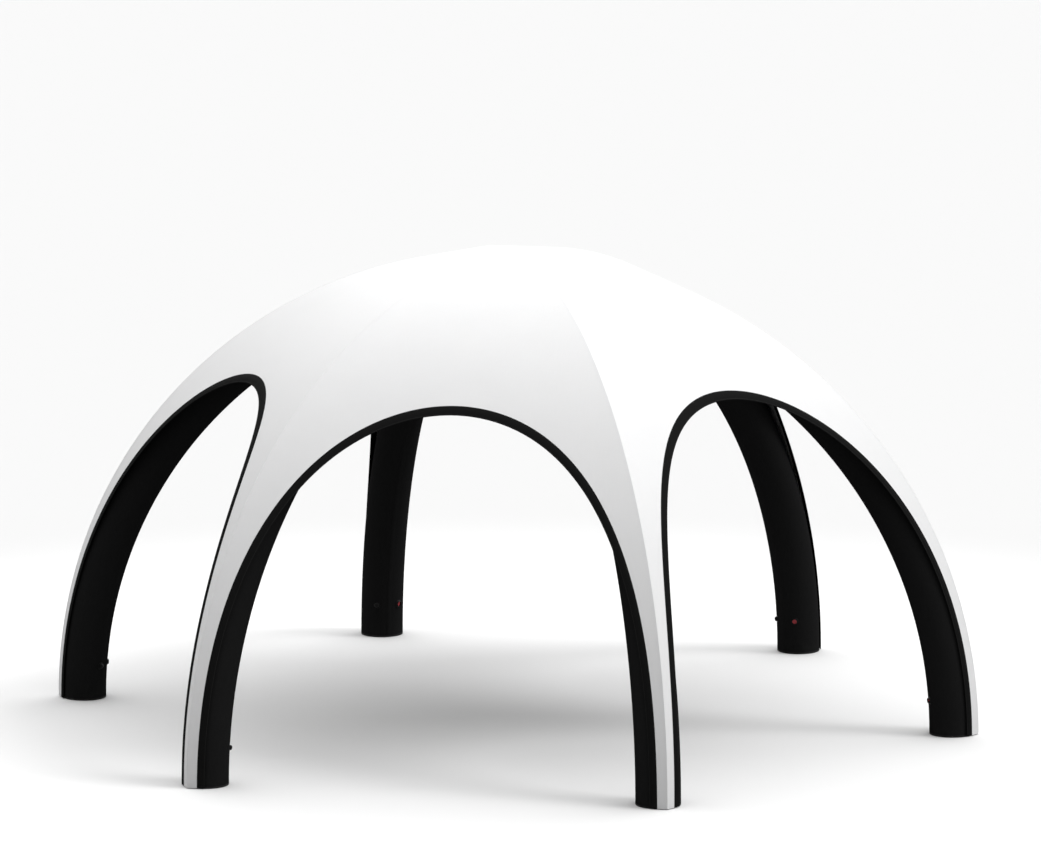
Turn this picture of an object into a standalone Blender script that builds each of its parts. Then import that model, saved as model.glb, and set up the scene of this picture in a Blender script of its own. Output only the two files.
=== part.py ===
"""A six-legged inflatable tent: crossing air beams under a white canopy with six open door arches.

Metres, +Z up. The origin is on the ground at the tent's centre, and one beam runs out along +X.
The canopy is modelled where it is used, seated on the beams.
"""
import math

import bmesh
import bpy
from mathutils import Matrix, Vector

# The plan: six beams and six canopy panels round the centre
SIDES = 6
PANEL_HALF_ANGLE = math.pi / SIDES
BEAM_PLACES = ("right", "back_right", "back_left", "left", "front_left", "front_right")
PANEL_PLACES = ("back_right", "back", "back_left", "front_left", "front", "front_right")

# The air beams: each is a quarter circle from the ground to the crown
BEAM_ARC_RADIUS = 3.11
BEAM_RADIUS = 0.1532
BEAM_BEVEL_RESOLUTION = 12
BEAM_ROUND_FACES = 4 + 2 * BEAM_BEVEL_RESOLUTION
ARC_STEPS = 17
ARC_OVERRUN = math.radians(2.0)
FOOT_CAP_THICKNESS = 0.014
FOOT_CAP_ROUNDING = 0.004

# The canopy: its ridges are quarter circles about the same centre, and its doors are cut straight through
CANOPY_ARC_RADIUS = 3.30
CANOPY_HEM_HEIGHT = 0.005
CANOPY_LENGTH_TO_CUT = 4.0
DOOR_HALF_WIDTH = 1.581
DOOR_CROWN_HEIGHT = 2.509
DOOR_CROWN_HANDLE = 0.451
DOOR_SHOULDER = (1.568, 2.272)
DOOR_STEPS = 16
DOOR_DEPTH_BELOW_GROUND = 0.1
DOOR_CUTTER_RANGE = (1.0, 4.0)
TRIM_WIDTH = 0.055

# Small clearances between pieces that touch
JOINT_GAP = 0.0003
SEAT_GAP = 0.0006

# The two valves on the inner side of every beam, each in the middle of the third flat from its inner line
VALVE_HEIGHT = 0.254
VALVE_ANGLE = 2.5 * 2 * math.pi / BEAM_ROUND_FACES
VALVE_STEPS = 14
INFLATION_VALVE_PROFILE = (
    (0.000, 0.026), (0.010, 0.024), (0.018, 0.017), (0.018, 0.010), (0.013, 0.006), (0.025, 0.004),
    (0.025, 0.000), (0.000, 0.000),
)
RELIEF_VALVE_PROFILE = (
    (0.000, 0.018), (0.015, 0.018), (0.016, 0.023), (0.019, 0.022), (0.019, 0.005), (0.025, 0.004),
    (0.027, 0.000), (0.000, 0.000),
)

# Sizes that only the modelling needs
WELD_DISTANCE = 0.00001
SHARP_ANGLE = math.radians(30.0)
WEDGE_REACH = 5.0
WEDGE_TOP = 4.0


def clear_scene():
    for obj in list(bpy.data.objects):
        bpy.data.objects.remove(obj)


def make_material(name, colour, roughness, metallic=0.0):
    material = bpy.data.materials.new(name)
    material.use_nodes = True
    shader = material.node_tree.nodes["Principled BSDF"]
    shader.inputs["Base Color"].default_value = (*colour, 1.0)
    shader.inputs["Roughness"].default_value = roughness
    shader.inputs["Metallic"].default_value = metallic
    return material


def link(name, data, collection):
    obj = bpy.data.objects.new(name, data)
    collection.objects.link(obj)
    return obj


def settled_mesh(obj, name):
    """The object's evaluated shape as a welded mesh of its own, in world space. The object is removed."""
    bpy.context.view_layer.update()
    mesh = bpy.data.meshes.new_from_object(obj.evaluated_get(bpy.context.evaluated_depsgraph_get()))
    mesh.name = name
    mesh.transform(obj.matrix_world)
    bpy.data.objects.remove(obj)
    bm = bmesh.new()
    bm.from_mesh(mesh)
    bmesh.ops.remove_doubles(bm, verts=bm.verts, dist=WELD_DISTANCE)
    bm.to_mesh(mesh)
    bm.free()
    return mesh


def outline_solid(name, points, half_depth, axes, centre, collection):
    """A closed flat outline given depth to both sides of its plane, as a mesh object."""
    curve = bpy.data.curves.new(name, "CURVE")
    curve.dimensions = "2D"
    curve.fill_mode = "BOTH"
    curve.extrude = half_depth
    spline = curve.splines.new("POLY")
    spline.points.add(len(points) - 1)
    for point, (u, v) in zip(spline.points, points):
        point.co = (u, v, 0.0, 1.0)
    spline.use_cyclic_u = True
    obj = link(name, curve, collection)
    obj.matrix_world = Matrix.Translation(centre) @ axes.to_4x4()
    return link(name, settled_mesh(obj, name), collection)


def as_cutter(obj):
    obj.display_type = "WIRE"
    obj.hide_render = True
    return obj


def cut(obj, operation, cutter):
    boolean = obj.modifiers.new(operation.lower(), "BOOLEAN")
    boolean.operation = operation
    boolean.object = cutter


def wedge_cutter(name, bottom, collection):
    """The sixth of the plan about +X, from a height up, half a joint gap inside the mitre planes."""
    apex = JOINT_GAP / 2 / math.sin(PANEL_HALF_ANGLE)
    far_x = apex + WEDGE_REACH * math.cos(PANEL_HALF_ANGLE)
    far_y = WEDGE_REACH * math.sin(PANEL_HALF_ANGLE)
    points = [(apex, 0.0), (far_x, -far_y), (far_x, far_y)]
    half_height = (WEDGE_TOP - bottom) / 2
    centre = Vector((0.0, 0.0, bottom + half_height))
    return as_cutter(outline_solid(name, points, half_height, Matrix.Identity(3), centre, collection))


def beam_mesh(collection, cutters):
    """One air beam along +X, cut flat above its foot cap and mitred at the crown against its neighbours."""
    curve = bpy.data.curves.new("beam", "CURVE")
    curve.dimensions = "3D"
    curve.bevel_depth = BEAM_RADIUS
    curve.bevel_resolution = BEAM_BEVEL_RESOLUTION
    curve.use_fill_caps = True
    angles = [math.pi / 2 * step / ARC_STEPS for step in range(ARC_STEPS + 1)]
    angles = [-ARC_OVERRUN] + angles + [math.pi / 2 + ARC_OVERRUN]
    spline = curve.splines.new("POLY")
    spline.points.add(len(angles) - 1)
    for point, angle in zip(spline.points, angles):
        point.co = (BEAM_ARC_RADIUS * math.cos(angle), 0.0, BEAM_ARC_RADIUS * math.sin(angle), 1.0)
    tube = link("beam", settled_mesh(link("beam_path", curve, collection), "beam"), collection)
    cut(tube, "INTERSECT", wedge_cutter("beam_wedge", FOOT_CAP_THICKNESS + JOINT_GAP, cutters))
    return settled_mesh(tube, "beam")


def foot_cap_mesh():
    """The flat moulded cap that closes the foot of a beam, with its rim rounded on the ground."""
    bm = bmesh.new()
    bmesh.ops.create_cone(
        bm, cap_ends=True, segments=BEAM_ROUND_FACES, radius1=BEAM_RADIUS, radius2=BEAM_RADIUS,
        depth=FOOT_CAP_THICKNESS, matrix=Matrix.Translation((0.0, 0.0, FOOT_CAP_THICKNESS / 2)),
    )
    rim = [edge for edge in bm.edges if all(vert.co.z < FOOT_CAP_ROUNDING for vert in edge.verts)]
    bmesh.ops.bevel(bm, geom=rim, offset=FOOT_CAP_ROUNDING, segments=2, profile=0.5, affect="EDGES")
    mesh = bpy.data.meshes.new("foot_cap")
    bm.to_mesh(mesh)
    bm.free()
    return mesh


def valve_mesh(name, profile, collection):
    """A round valve standing on the XY plane, turned from its profile."""
    mesh = bpy.data.meshes.new(name)
    mesh.from_pydata([(r, 0.0, h) for r, h in profile], [(i, i + 1) for i in range(len(profile) - 1)], [])
    obj = link(name, mesh, collection)
    screw = obj.modifiers.new("turn", "SCREW")
    screw.steps = VALVE_STEPS
    screw.render_steps = VALVE_STEPS
    screw.use_merge_vertices = True
    screw.merge_threshold = WELD_DISTANCE
    return settled_mesh(obj, name)


def canopy_profile():
    """The section across a canopy panel: the skin's outer line up, and the line on the beams back down."""
    squash = math.cos(PANEL_HALF_ANGLE)
    angles = [math.pi / 2 * step / ARC_STEPS for step in range(ARC_STEPS + 1)]
    outer = [(CANOPY_ARC_RADIUS * squash * math.cos(a), CANOPY_ARC_RADIUS * math.sin(a)) for a in angles]
    inner = []
    for a in angles:
        centre = Vector((BEAM_ARC_RADIUS * squash * math.cos(a), BEAM_ARC_RADIUS * math.sin(a)))
        outward = Vector((math.cos(a), squash * math.sin(a))).normalized()
        inner.append(tuple(centre + outward * (BEAM_RADIUS + SEAT_GAP)))
    return outer + inner[::-1]


def door_outline(inset):
    """The door arch seen square on, as (across, height), moved in by the inset and run below the ground."""
    corners = (
        Vector((0.0, DOOR_CROWN_HEIGHT)), Vector((DOOR_CROWN_HANDLE, DOOR_CROWN_HEIGHT)),
        Vector(DOOR_SHOULDER), Vector((DOOR_HALF_WIDTH, 0.0)),
    )
    half = []
    for step in range(DOOR_STEPS + 1):
        t = step / DOOR_STEPS
        weights = ((1 - t) ** 3, 3 * (1 - t) ** 2 * t, 3 * (1 - t) * t * t, t ** 3)
        point = sum((c * w for c, w in zip(corners, weights)), Vector((0.0, 0.0)))
        slopes = (3 * (1 - t) ** 2, 6 * (1 - t) * t, 3 * t * t)
        steps = (after - before for before, after in zip(corners, corners[1:]))
        along = sum((stride * slope for stride, slope in zip(steps, slopes)), Vector((0.0, 0.0))).normalized()
        half.append(point + Vector((along.y, -along.x)) * inset)
    half.append(Vector((half[-1].x, -DOOR_DEPTH_BELOW_GROUND)))
    return [(-p.x, p.y) for p in half[:0:-1]] + [(p.x, p.y) for p in half]


def door_cutter(name, inset, collection):
    near, far = DOOR_CUTTER_RANGE
    axes = Matrix(((0, 0, 1), (1, 0, 0), (0, 1, 0)))
    centre = Vector(((near + far) / 2, 0.0, 0.0))
    return as_cutter(outline_solid(name, door_outline(inset), (far - near) / 2, axes, centre, collection))


def canopy_blank(name, collection, cutters):
    """One sixth of the canopy about +X, before its door is cut."""
    axes = Matrix.Rotation(math.pi / 2, 3, "X")
    centre = Vector((0.0, 0.0, 0.0))
    blank = outline_solid(name, canopy_profile(), CANOPY_LENGTH_TO_CUT / 2, axes, centre, collection)
    cut(blank, "INTERSECT", wedge_cutter(name + "_wedge", CANOPY_HEM_HEIGHT, cutters))
    return blank


def panel_mesh(collection, cutters):
    """The white part of a panel: its top and a strip down either side of the door, cut at the trim's seam."""
    panel = canopy_blank("panel", collection, cutters)
    cut(panel, "DIFFERENCE", door_cutter("panel_door", 0.0, cutters))
    return settled_mesh(panel, "canopy_panel")


def trim_mesh(collection, cutters):
    """The black band that is sewn along the whole door arch, from one foot to the other."""
    trim = canopy_blank("trim", collection, cutters)
    cut(trim, "INTERSECT", door_cutter("trim_seam", JOINT_GAP, cutters))
    cut(trim, "DIFFERENCE", door_cutter("trim_opening", TRIM_WIDTH, cutters))
    return settled_mesh(trim, "door_trim")


def place_ring(prefix, places, mesh, material, collection, first_angle, local=Matrix.Identity(4)):
    """Six copies round the centre: each shares the mesh, and stands at its own angle."""
    mesh.materials.clear()
    mesh.materials.append(material)
    mesh.shade_smooth()
    mesh.set_sharp_from_angle(angle=SHARP_ANGLE)
    for index, place in enumerate(places):
        obj = link(prefix + "_" + place, mesh, collection)
        turn = Matrix.Rotation(first_angle + index * 2 * PANEL_HALF_ANGLE, 4, "Z")
        obj.matrix_world = turn @ local


def valve_seat(side):
    """Where a valve stands on the lowest length of the beam along +X, on a flat facing in and to one side."""
    angles = (0.0, math.pi / 2 / ARC_STEPS)
    low, high = (BEAM_ARC_RADIUS * Vector((math.cos(a), 0.0, math.sin(a))) for a in angles)
    centre = low.lerp(high, VALVE_HEIGHT / high.z)
    upwards = (high - low).normalized()
    inwards = Vector((-upwards.z, 0.0, upwards.x))
    outwards = inwards * math.cos(VALVE_ANGLE) + Vector((0.0, side, 0.0)) * math.sin(VALVE_ANGLE)
    axes = Matrix((upwards.cross(outwards), upwards, outwards)).transposed()
    flat = BEAM_RADIUS * math.cos(math.pi / BEAM_ROUND_FACES) + JOINT_GAP
    return Matrix.Translation(centre + outwards * flat) @ axes.to_4x4()


clear_scene()
tent = bpy.data.collections.new("inflatable_tent")
cutters = bpy.data.collections.new("cutters")
bpy.context.scene.collection.children.link(tent)
bpy.context.scene.collection.children.link(cutters)

beam_fabric = make_material("beam_fabric", (0.012, 0.012, 0.013), 0.6)
cap_rubber = make_material("foot_cap_rubber", (0.018, 0.018, 0.018), 0.7)
canopy_fabric = make_material("canopy_fabric", (0.83, 0.83, 0.83), 0.7)
trim_fabric = make_material("trim_fabric", (0.010, 0.010, 0.010), 0.7)
valve_plastic = make_material("inflation_valve_plastic", (0.02, 0.02, 0.02), 0.35)
relief_plastic = make_material("relief_valve_plastic", (0.62, 0.03, 0.02), 0.35)

foot = Matrix.Translation((BEAM_ARC_RADIUS, 0.0, 0.0))
inflation_valve = valve_mesh("inflation_valve", INFLATION_VALVE_PROFILE, tent)
relief_valve = valve_mesh("relief_valve", RELIEF_VALVE_PROFILE, tent)
place_ring("beam", BEAM_PLACES, beam_mesh(tent, cutters), beam_fabric, tent, 0.0)
place_ring("foot_cap", BEAM_PLACES, foot_cap_mesh(), cap_rubber, tent, 0.0, foot)
place_ring("inflation_valve", BEAM_PLACES, inflation_valve, valve_plastic, tent, 0.0, valve_seat(1))
place_ring("relief_valve", BEAM_PLACES, relief_valve, relief_plastic, tent, 0.0, valve_seat(-1))
place_ring("canopy_panel", PANEL_PLACES, panel_mesh(tent, cutters), canopy_fabric, tent, PANEL_HALF_ANGLE)
place_ring("door_trim", PANEL_PLACES, trim_mesh(tent, cutters), trim_fabric, tent, PANEL_HALF_ANGLE)
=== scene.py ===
"""The looks of the six-legged inflatable tent: cloth sleeves on the air beams, and the canopy over them.

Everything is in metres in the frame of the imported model: +Z up, the origin on the ground at the centre,
and one beam running out along +X. The canopy rides on its own body, which lifts off the beams.
"""
import math

import bmesh
import bpy
from mathutils import Matrix, Vector


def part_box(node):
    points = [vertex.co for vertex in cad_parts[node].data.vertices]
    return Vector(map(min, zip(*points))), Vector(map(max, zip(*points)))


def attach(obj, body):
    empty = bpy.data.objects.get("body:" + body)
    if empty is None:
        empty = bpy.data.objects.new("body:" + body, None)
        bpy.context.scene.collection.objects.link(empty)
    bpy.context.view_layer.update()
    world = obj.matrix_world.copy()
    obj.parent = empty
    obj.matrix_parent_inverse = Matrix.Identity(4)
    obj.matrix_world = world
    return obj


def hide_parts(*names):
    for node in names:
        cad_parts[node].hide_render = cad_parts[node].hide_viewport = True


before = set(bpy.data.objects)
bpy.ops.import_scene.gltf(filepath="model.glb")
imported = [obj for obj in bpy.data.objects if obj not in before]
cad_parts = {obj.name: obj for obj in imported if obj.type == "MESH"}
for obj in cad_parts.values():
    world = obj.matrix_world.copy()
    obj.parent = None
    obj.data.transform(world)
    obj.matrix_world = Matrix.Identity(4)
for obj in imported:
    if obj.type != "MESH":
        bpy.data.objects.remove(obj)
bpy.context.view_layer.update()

# The camera
# The photograph is a long-lens view from the front and a little above. The place, the aim and the lens
# were fitted to the outlines of the six beams, and hold for the photograph's whole frame.
CAMERA_DISTANCE = 59.385
CAMERA_HEIGHT = 12.297
CAMERA_ASIDE = -0.075
CAMERA_LENS = 298.4
CAMERA_REACH = 1000.0
VIEW_TURN = math.radians(11.95)
AIM_TURN = math.radians(-0.12)
AIM_DOWN = math.radians(9.753)

camera = bpy.data.objects.new("camera", bpy.data.cameras.new("camera"))
bpy.context.scene.collection.objects.link(camera)
camera.data.lens = CAMERA_LENS
camera.data.clip_end = CAMERA_REACH
camera_stand = Vector((CAMERA_ASIDE, -CAMERA_DISTANCE, CAMERA_HEIGHT))
camera.location = Matrix.Rotation(VIEW_TURN, 3, "Z") @ camera_stand
camera.rotation_euler = (math.pi / 2 - AIM_DOWN, 0.0, VIEW_TURN + AIM_TURN)
bpy.context.scene.camera = camera

# The studio
# A white sweep, a shade dimmer away from the tent so that the lit canopy keeps its outline, fades into a
# pale grey floor and room. One very broad soft light stands above and behind, a smaller one to the right.
FLOOR_RADIUS = 400.0
FLOOR_SIDES = 96
FLOOR_DROP = 0.0005
FLOOR_SHOWN = 0.72
FLOOR_SHOWN_AWAY = 0.570
AWAY_FROM = 4.5
AWAY_TO = 8.0
FLOOR_ROUND_ABOUT = 0.40
SWEEP_HALF_WIDTH = 3.8
SWEEP_FLARE = 0.06
SWEEP_FRONT = 7.0
SWEEP_FADE = 3.0
FLOOR_THROWN_BACK = 0.42
OVERHEAD_STRENGTH = 4.3
OVERHEAD_SPREAD = math.radians(126.0)
OVERHEAD_HEIGHT = math.radians(62.0)
OVERHEAD_TURN = math.radians(154.0)
SIDE_STRENGTH = 0.94
SIDE_SPREAD = math.radians(20.0)
SIDE_HEIGHT = math.radians(49.5)
SIDE_TURN = math.radians(78.0)
ROOM_WHITE = (1.0, 1.0, 1.0, 1.0)
ROOM_STRENGTH = 0.24
ROOM_SHOWN = 0.67


def node(tree, kind, inputs=None, **settings):
    """A new node with its settings. An input that is given a socket is wired to it."""
    made = tree.nodes.new(kind)
    for name, value in settings.items():
        setattr(made, name, value)
    for name, value in (inputs or {}).items():
        if isinstance(value, bpy.types.NodeSocket):
            tree.links.new(value, made.inputs[name])
        else:
            made.inputs[name].default_value = value
    return made


def work_out(tree, operation, first, second=0.0, third=0.0):
    """The result of one Math node."""
    return node(tree, "ShaderNodeMath", {0: first, 1: second, 2: third}, operation=operation).outputs[0]


def ramp(tree, value, low, high, to_low=0.0, to_high=1.0):
    """The value eased from one range to another, and held at its ends."""
    span = {"Value": value, "From Min": low, "From Max": high, "To Min": to_low, "To Max": to_high}
    return node(tree, "ShaderNodeMapRange", span, interpolation_type="SMOOTHSTEP").outputs[0]


def object_place(tree):
    """The place of each point in its object's own metres."""
    return node(tree, "ShaderNodeTexCoord").outputs["Object"]


def split_up(tree, vector):
    """A vector's parts, by X, Y and Z."""
    return node(tree, "ShaderNodeSeparateXYZ", {0: vector}).outputs


def finish_of(name, **values):
    """A new material with these values on its shader's own sockets, then its node tree and its shader."""
    material = bpy.data.materials.new(name)
    material.use_nodes = True
    shader = material.node_tree.nodes["Principled BSDF"]
    for label, value in values.items():
        shader.inputs[label.replace("_", " ")].default_value = value
    return material, material.node_tree, shader


def new_object(name, data, *materials):
    """A new object in the scene, with its materials."""
    for material in materials:
        data.materials.append(material)
    made = bpy.data.objects.new(name, data)
    bpy.context.scene.collection.objects.link(made)
    return made


def sun(name, strength, spread, height, turn):
    """A light from far away, by its height and its turn from the camera's side towards the view's right."""
    lamp = bpy.data.lights.new(name, "SUN")
    lamp.energy = strength
    lamp.angle = spread
    made = new_object(name, lamp)
    made.rotation_euler = (math.pi / 2 - height, 0.0, VIEW_TURN + turn)


floor_bm = bmesh.new()
bmesh.ops.create_circle(floor_bm, cap_ends=True, segments=FLOOR_SIDES, radius=FLOOR_RADIUS)
floor_mesh = bpy.data.meshes.new("floor")
floor_bm.to_mesh(floor_mesh)
floor_bm.free()
floor_paint, floor_tree, floor_shader = finish_of("floor_paint", Roughness=1.0, Specular_IOR_Level=0.0)
spot = object_place(floor_tree)
spot_split = split_up(floor_tree, spot)
sweep_edge = work_out(floor_tree, "MULTIPLY_ADD", spot_split["Y"], SWEEP_FLARE, SWEEP_HALF_WIDTH)
past_side = work_out(floor_tree, "SUBTRACT", work_out(floor_tree, "ABSOLUTE", spot_split["X"]), sweep_edge)
past_front = work_out(floor_tree, "SUBTRACT", -SWEEP_FRONT, spot_split["Y"])
past_sweep = work_out(floor_tree, "MAXIMUM", past_side, past_front)
from_tent = node(floor_tree, "ShaderNodeVectorMath", {0: spot}, operation="LENGTH").outputs["Value"]
sweep_white = ramp(floor_tree, from_tent, AWAY_FROM, AWAY_TO, FLOOR_SHOWN, FLOOR_SHOWN_AWAY)
shown = ramp(floor_tree, past_sweep, 0.0, SWEEP_FADE, sweep_white, FLOOR_ROUND_ABOUT)
# The floor throws back less light than it shows, so that the undersides stay as deep as in the photograph.
seen = node(floor_tree, "ShaderNodeLightPath").outputs["Is Camera Ray"]
floor_white = {"Value": seen, "To Min": FLOOR_THROWN_BACK, "To Max": shown}
floor_tone = node(floor_tree, "ShaderNodeMapRange", floor_white).outputs[0]
floor_tree.links.new(floor_tone, floor_shader.inputs["Base Color"])
floor = new_object("floor", floor_mesh, floor_paint)
floor.location.z = -FLOOR_DROP
floor.rotation_euler.z = VIEW_TURN

sun("overhead_softbox", OVERHEAD_STRENGTH, OVERHEAD_SPREAD, OVERHEAD_HEIGHT, OVERHEAD_TURN)
sun("side_softbox", SIDE_STRENGTH, SIDE_SPREAD, SIDE_HEIGHT, SIDE_TURN)

room = bpy.data.worlds.new("room")
room.use_nodes = True
bpy.context.scene.world = room
to_the_camera = node(room.node_tree, "ShaderNodeLightPath").outputs["Is Camera Ray"]
room_tone = {"Value": to_the_camera, "To Min": ROOM_STRENGTH, "To Max": ROOM_SHOWN}
room_strength = node(room.node_tree, "ShaderNodeMapRange", room_tone).outputs[0]
background = room.node_tree.nodes["Background"]
background.inputs["Color"].default_value = ROOM_WHITE
room.node_tree.links.new(room_strength, background.inputs["Strength"])
bpy.context.scene.view_settings.view_transform = "Standard"

# The air beam sleeves
# Each beam is a bladder in a black coated polyester sleeve, a quarter circle from its foot cap to the crown.
# The cloth is wrapped round it, lapped and sewn along its inner line, and mitred at the crown.
SIDES = 6
HALF_SIXTH = math.pi / SIDES
BEAM_PLACES = ("right", "back_right", "back_left", "left", "front_left", "front_right")
cap_low, cap_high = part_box("foot_cap_right")
BEAM_ARC_RADIUS = (cap_low.x + cap_high.x) / 2
BEAM_RADIUS = (cap_high.y - cap_low.y) / 2
CAP_TOP = cap_high.z
SLEEVE_RINGS = 130
SLEEVE_OVERRUN = math.radians(3.0)
SLEEVE_ROUND_STEP = 5
SAME_POINT = 1e-6
LAP_HALF_WIDTH = 0.012
LAP_EDGE = 0.001
LAP_HEIGHT = 0.0006
LAP_STITCH_INSET = 0.004
LAP_STITCH_WIDTH = 0.0016
STITCH_LENGTH = 0.006
STITCH_DEPTH = 0.0006
STITCH_EDGE = (0.3, 0.6)
STITCH_DIP = (0.04, 0.14)
POLYESTER_THREADS = 900.0
POLYESTER_DEPTH = 0.00012
POLYESTER_ROUGHNESS = (0.68, 0.8)
THREAD_NARROWING = 0.02
THREAD_SCALE = 0.5
DUST_REACH = 0.15
DUST_AMOUNT = 0.03
DUST_SCALE = 14.0
DUST_PATCHES = (0.35, 0.75)
PUCKER_REACH = 0.07
PUCKER_SCALE = 26.0
PUCKER_NARROWING = 6.0
PUCKER_DEPTH = 0.0004
SLACK_SCALE = 3.2
SLACK_DEPTH = 0.004
NOISE_MIDDLE = (0.3, 0.7)
SLEEVE_GLOSS = 0.001
SLEEVE_DARK = (0.0050, 0.0050, 0.0051)
SLEEVE_PALE = (0.0090, 0.0090, 0.0092)
SLEEVE_THREAD = (0.010, 0.010, 0.010)
SLEEVE_DUST = (0.12, 0.115, 0.105)
# Painted light and shade: the sleeve's black is paler low down, where the legs stand in the light, and
# darker up under the canopy's shade.
SLEEVE_LIGHT_HEIGHTS = (0.3, 2.9)
SLEEVE_LIT_DARK = (0.0082, 0.0082, 0.0083)
SLEEVE_LIT_PALE = (0.0148, 0.0148, 0.0150)


def effect(name, inputs, outputs):
    """A shader node group with named inputs and outputs, and the two nodes that stand for them."""
    tree = bpy.data.node_groups.new(name, "ShaderNodeTree")
    for label, kind in inputs:
        tree.interface.new_socket(label, in_out="INPUT", socket_type=kind)
    for label in outputs:
        tree.interface.new_socket(label, in_out="OUTPUT", socket_type="NodeSocketFloat")
    return tree, tree.nodes.new("NodeGroupInput").outputs, tree.nodes.new("NodeGroupOutput").inputs


def noise(tree, place, scale, detail):
    """Even noise with about this many features to each unit of the place, and finer ones by the detail."""
    inputs = {"Vector": place, "Scale": scale, "Detail": detail}
    return node(tree, "ShaderNodeTexNoise", inputs).outputs[0]


def plain_weave():
    """Warp and weft threads passing over and under each other, with threads of slightly uneven tone."""
    inputs = (("Cloth", "NodeSocketVector"), ("Threads per Metre", "NodeSocketFloat"))
    tree, given, out = effect("plain_weave", inputs, ("Height", "Tone"))
    spacing = {0: given["Cloth"], "Scale": given["Threads per Metre"]}
    place = node(tree, "ShaderNodeVectorMath", spacing, operation="SCALE").outputs[0]
    split = split_up(tree, place)
    arches = []
    for axis in "XY":
        wave = work_out(tree, "SINE", work_out(tree, "MULTIPLY", split[axis], math.pi))
        arches.append(work_out(tree, "ABSOLUTE", wave))
    over = node(tree, "ShaderNodeTexChecker", {"Vector": place, "Scale": 1.0}).outputs["Fac"]
    height = node(tree, "ShaderNodeMix", {"Factor": over, "A": arches[0], "B": arches[1]}).outputs["Result"]
    tree.links.new(height, out["Height"])
    uneven = []
    for stretch in ((1.0, THREAD_NARROWING, 1.0), (THREAD_NARROWING, 1.0, 1.0)):
        thread = node(tree, "ShaderNodeVectorMath", {0: place, 1: stretch}, operation="MULTIPLY").outputs[0]
        uneven.append(noise(tree, thread, THREAD_SCALE, detail=1.0))
    tone = work_out(tree, "MULTIPLY", work_out(tree, "ADD", *uneven), 0.5)
    tree.links.new(tone, out["Tone"])
    return tree


def lockstitch_row():
    """A straight row of lockstitch: a thread that dips through the cloth at the end of every stitch."""
    labels = ("Across", "Along", "Row", "Stitch Length", "Thread Width")
    inputs = [(label, "NodeSocketFloat") for label in labels]
    tree, given, out = effect("lockstitch_row", inputs, ("Stitch",))
    aside = work_out(tree, "ABSOLUTE", work_out(tree, "SUBTRACT", given["Across"], given["Row"]))
    body = ramp(tree, work_out(tree, "DIVIDE", aside, given["Thread Width"]), *STITCH_EDGE, 1.0, 0.0)
    step = work_out(tree, "DIVIDE", given["Along"], given["Stitch Length"])
    dip = ramp(tree, work_out(tree, "PINGPONG", step, 0.5), *STITCH_DIP)
    tree.links.new(work_out(tree, "MULTIPLY", body, dip), out["Stitch"])
    return tree


def ground_dust():
    """Pale dust that settles thinly and unevenly on what stands near the ground."""
    inputs = (("Place", "NodeSocketVector"), ("Reach", "NodeSocketFloat"), ("Amount", "NodeSocketFloat"))
    tree, given, out = effect("ground_dust", inputs, ("Dust",))
    height = split_up(tree, given["Place"])["Z"]
    low = ramp(tree, work_out(tree, "DIVIDE", height, given["Reach"]), 0.0, 1.0, 1.0, 0.0)
    patchy = ramp(tree, noise(tree, given["Place"], DUST_SCALE, detail=6.0), *DUST_PATCHES)
    dust = work_out(tree, "MULTIPLY", work_out(tree, "MULTIPLY", low, patchy), given["Amount"])
    tree.links.new(dust, out["Dust"])
    return tree


def place_group(tree, group, **inputs):
    """An effect's node in a material, with its inputs given by name."""
    made = tree.nodes.new("ShaderNodeGroup")
    made.node_tree = group
    for label, value in inputs.items():
        socket = made.inputs[label.replace("_", " ")]
        if isinstance(value, bpy.types.NodeSocket):
            tree.links.new(value, socket)
        else:
            socket.default_value = value
    return made.outputs


def bump(tree, height, depth, under=None):
    """A bump of the given depth in metres, over another one if there is one."""
    inputs = {"Height": height, "Distance": depth, "Strength": 1.0}
    if under is not None:
        inputs["Normal"] = under
    return node(tree, "ShaderNodeBump", inputs).outputs[0]


def blend_colours(tree, factor, first, second):
    """One colour over another by a factor; a plain colour is given as three numbers."""
    mix = node(tree, "ShaderNodeMix", {0: factor}, data_type="RGBA")
    # The node's two colours go in at 6 and 7, and the blend comes out at 2.
    for socket_number, colour in ((6, first), (7, second)):
        if isinstance(colour, bpy.types.NodeSocket):
            tree.links.new(colour, mix.inputs[socket_number])
        else:
            mix.inputs[socket_number].default_value = (*colour, 1.0)
    return mix.outputs[2]


def cloth_map(tree):
    """The cloth's own metres as one vector, and its two parts."""
    cloth = node(tree, "ShaderNodeUVMap", uv_map="cloth").outputs[0]
    split = split_up(tree, cloth)
    return cloth, split["X"], split["Y"]


WEAVE = plain_weave()
LOCKSTITCH = lockstitch_row()
DUST = ground_dust()


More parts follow.
